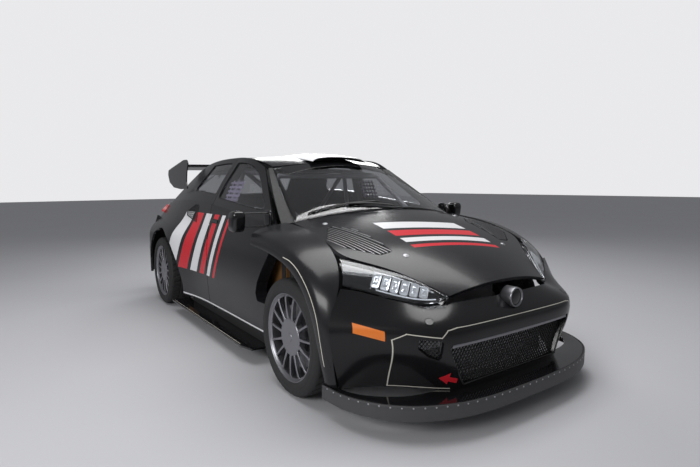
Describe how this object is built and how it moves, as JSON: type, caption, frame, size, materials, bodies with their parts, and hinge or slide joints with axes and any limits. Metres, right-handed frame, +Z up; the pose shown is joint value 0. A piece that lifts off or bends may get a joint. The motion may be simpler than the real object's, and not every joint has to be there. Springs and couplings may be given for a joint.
{
  "type": "rally car",
  "caption": "Three-door rally car with flared arches, front splitter, louvred bonnet, roof scoop, rear wing, caged cabin, steering and opening panels.",
  "frame": {"origin": "on the floor at the middle of the car's length and width", "axes": "+X forward, +Y to the car's left, +Z up"},
  "size_m": [4.2221, 2.0156, 1.4115],
  "materials": {
    "body_black": "satin black paint",
    "carbon_gloss": "gloss black composite",
    "trim_black": "matt black moulding",
    "clear_glass": "clear",
    "lamp_chrome": "bright",
    "lamp_red": "red lens",
    "rim_grey": "satin grey",
    "tyre_black": "matt",
    "steel": "satin",
    "alloy": "cast",
    "seat_black": "woven",
    "cage_grey": "satin"
  },
  "bodies": {
    "chassis": {"body_shell": "trim_black", "floor_pan": "trim_black", "front_frame": "trim_black", "rear_frame": "trim_black", "arch_liners": "trim_black", "roof_panel": "body_black", "roof_scoop": "carbon_gloss", "windscreen": "clear_glass", "quarter_right": "body_black", "quarter_left": "body_black", "quarter_glass": "clear_glass", "wing_right": "body_black", "wing_left": "body_black", "front_bumper": "carbon_gloss", "front_grille": "trim_black", "radiator": "alloy", "headlamps": "lamp_chrome", "headlamp_lenses": "clear_glass", "front_splitter": "carbon_gloss", "side_skirts": "carbon_gloss", "rear_bumper": "body_black", "rear_diffuser": "trim_black", "tail_lamps": "lamp_red", "roll_cage": "cage_grey", "seats": "seat_black", "dashboard": "trim_black", "engine_block": "alloy", "exhaust": "steel", "front_suspension": "steel", "rear_suspension": "steel"},
    "bonnet_lid": {"bonnet": "body_black", "bonnet_louvres": "alloy"},
    "tail_door": {"tailgate": "body_black", "rear_window": "clear_glass", "rear_wing": "carbon_gloss"},
    "steering_column": {"steering_wheel": "seat_black"},
    "rack": {"steering_rack": "steel"},
    "side_door_right": {"door_right": "body_black", "door_glass_right": "clear_glass", "mirror_right": "body_black"},
    "upright_right": {"knuckle_right": "steel"},
    "wheel_front_right": {"tyre_front_right": "tyre_black", "rim_front_right": "rim_grey"},
    "wheel_rear_right": {"tyre_rear_right": "tyre_black", "rim_rear_right": "rim_grey"},
    "side_door_left": {"door_left": "body_black", "door_glass_left": "clear_glass", "mirror_left": "body_black"},
    "upright_left": {"knuckle_left": "steel"},
    "wheel_front_left": {"tyre_front_left": "tyre_black", "rim_front_left": "rim_grey"},
    "wheel_rear_left": {"tyre_rear_left": "tyre_black", "rim_rear_left": "rim_grey"}
  },
  "joints": [
    {"name": "steer_right", "type": "hinge", "parent": "chassis", "child": "upright_right", "pos_m": [1.1825, -0.7, 0.165], "axis": [-0.0596, 0.1704, 0.9836], "range_deg": [-28, 28]},
    {"name": "door_swing_right", "type": "hinge", "parent": "chassis", "child": "side_door_right", "pos_m": [0.7275, -0.805, 0.55], "axis": [0, 0, 1], "range_deg": [0, 65]},
    {"name": "spin_front_right", "type": "hinge", "parent": "upright_right", "child": "wheel_front_right", "pos_m": [1.1825, -0.7975, 0.325], "axis": [0, 1, 0], "continuous": true},
    {"name": "spin_rear_right", "type": "hinge", "parent": "chassis", "child": "wheel_rear_right", "pos_m": [-1.4475, -0.7975, 0.325], "axis": [0, 1, 0], "continuous": true},
    {"name": "steer_left", "type": "hinge", "parent": "chassis", "child": "upright_left", "pos_m": [1.1825, 0.7, 0.165], "axis": [-0.0596, -0.1704, 0.9836], "range_deg": [-28, 28]},
    {"name": "door_swing_left", "type": "hinge", "parent": "chassis", "child": "side_door_left", "pos_m": [0.7275, 0.805, 0.55], "axis": [0, 0, -1], "range_deg": [0, 65]},
    {"name": "spin_front_left", "type": "hinge", "parent": "upright_left", "child": "wheel_front_left", "pos_m": [1.1825, 0.7975, 0.325], "axis": [0, 1, 0], "continuous": true},
    {"name": "spin_rear_left", "type": "hinge", "parent": "chassis", "child": "wheel_rear_left", "pos_m": [-1.4475, 0.7975, 0.325], "axis": [0, 1, 0], "continuous": true},
    {"name": "rack_slide", "type": "slide", "parent": "chassis", "child": "rack", "axis": [0, 1, 0], "range_m": [-0.0645, 0.0645]},
    {"name": "column_turn", "type": "hinge", "parent": "chassis", "child": "steering_column", "pos_m": [0.2775, 0.33, 0.8], "axis": [-0.9272, 0, 0.3746], "range_deg": [-310, 310]},
    {"name": "bonnet_lift", "type": "hinge", "parent": "chassis", "child": "bonnet_lid", "pos_m": [0.9475, 0, 1], "axis": [0, -1, 0], "range_deg": [0, 55]},
    {"name": "tail_door_lift", "type": "hinge", "parent": "chassis", "child": "tail_door", "pos_m": [-1.3325, 0, 1.335], "axis": [0, 1, 0], "range_deg": [0, 60]}
  ],
  "couplings": [
    {"joint": "steer_left", "follows": "steer_right", "ratio": 1},
    {"joint": "rack_slide", "follows": "steer_right", "m_per_rad": -0.13},
    {"joint": "column_turn", "follows": "steer_right", "ratio": 11}
  ]
}
